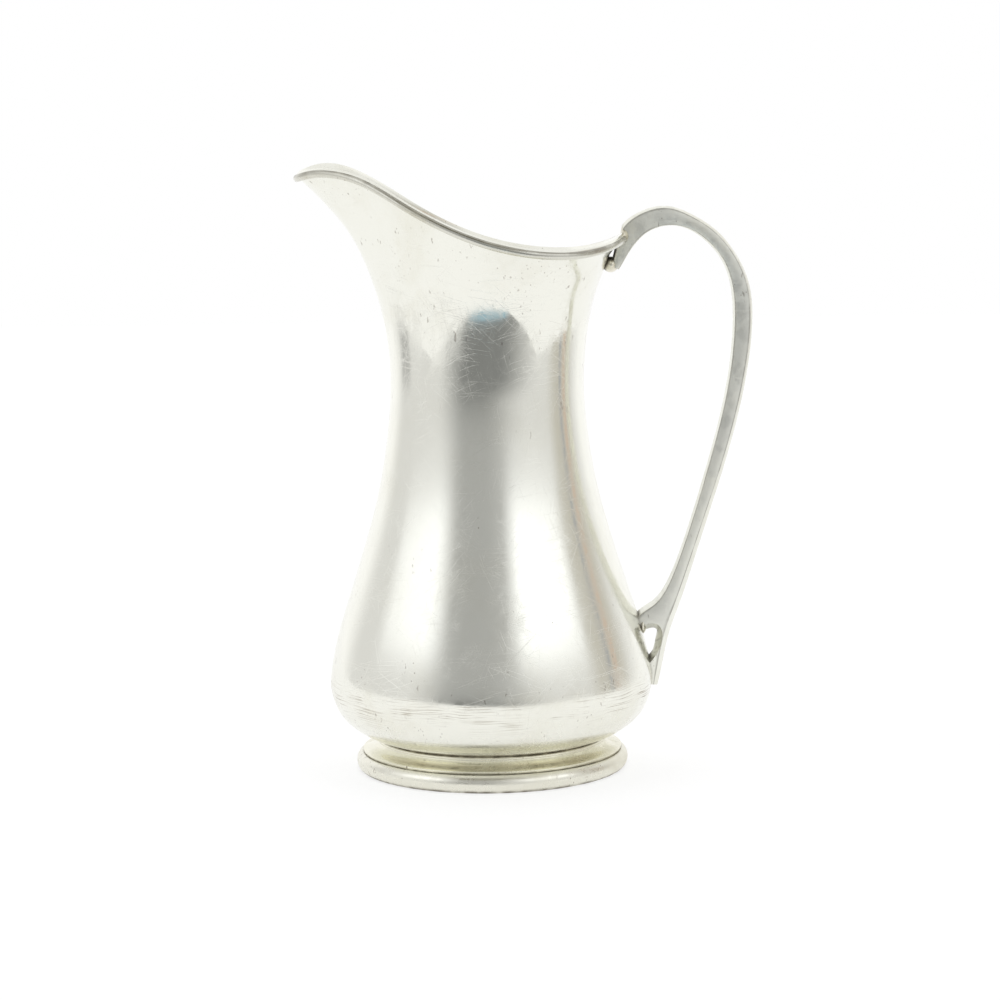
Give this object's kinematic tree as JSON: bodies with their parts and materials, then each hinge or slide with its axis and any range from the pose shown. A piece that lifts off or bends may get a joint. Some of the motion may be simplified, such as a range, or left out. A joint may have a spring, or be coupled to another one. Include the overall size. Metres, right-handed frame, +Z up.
{
  "type": "water pitcher",
  "caption": "Footed silver water pitcher with a waisted round body, high pouring lip, beaded rim and cast loop handle pierced at its lower end.",
  "frame": {"origin": "centre of the foot's resting plane, on the body's axis", "axes": "+Z up along the body's axis, -X towards the pouring lip, +X towards the handle, Y across the mouth"},
  "size_m": [0.1681, 0.1202, 0.2257],
  "materials": {
    "body_silver": "polished silver plate with fine wiping scratches",
    "bowl_silver": "polished silver plate, slightly yellowed",
    "rim_silver": "satin silver plate, worn along the edge",
    "foot_silver": "polished silver plate with tarnish in the grooves",
    "handle_silver": "satin cast silver plate",
    "solder": "dull solder with tarnish"
  },
  "bodies": {
    "root": {"upper_body": "body_silver", "lower_bowl": "bowl_silver", "rim_wire": "rim_silver", "foot_collar": "foot_silver", "base_ring": "foot_silver", "handle": "handle_silver", "belly_seam_solder": "solder", "foot_neck_solder": "solder", "base_ring_solder": "solder", "handle_top_solder": "solder", "handle_root_solder": "solder", "handle_arch_solder": "solder", "handle_tip_solder": "solder"}
  },
  "joints": []
}
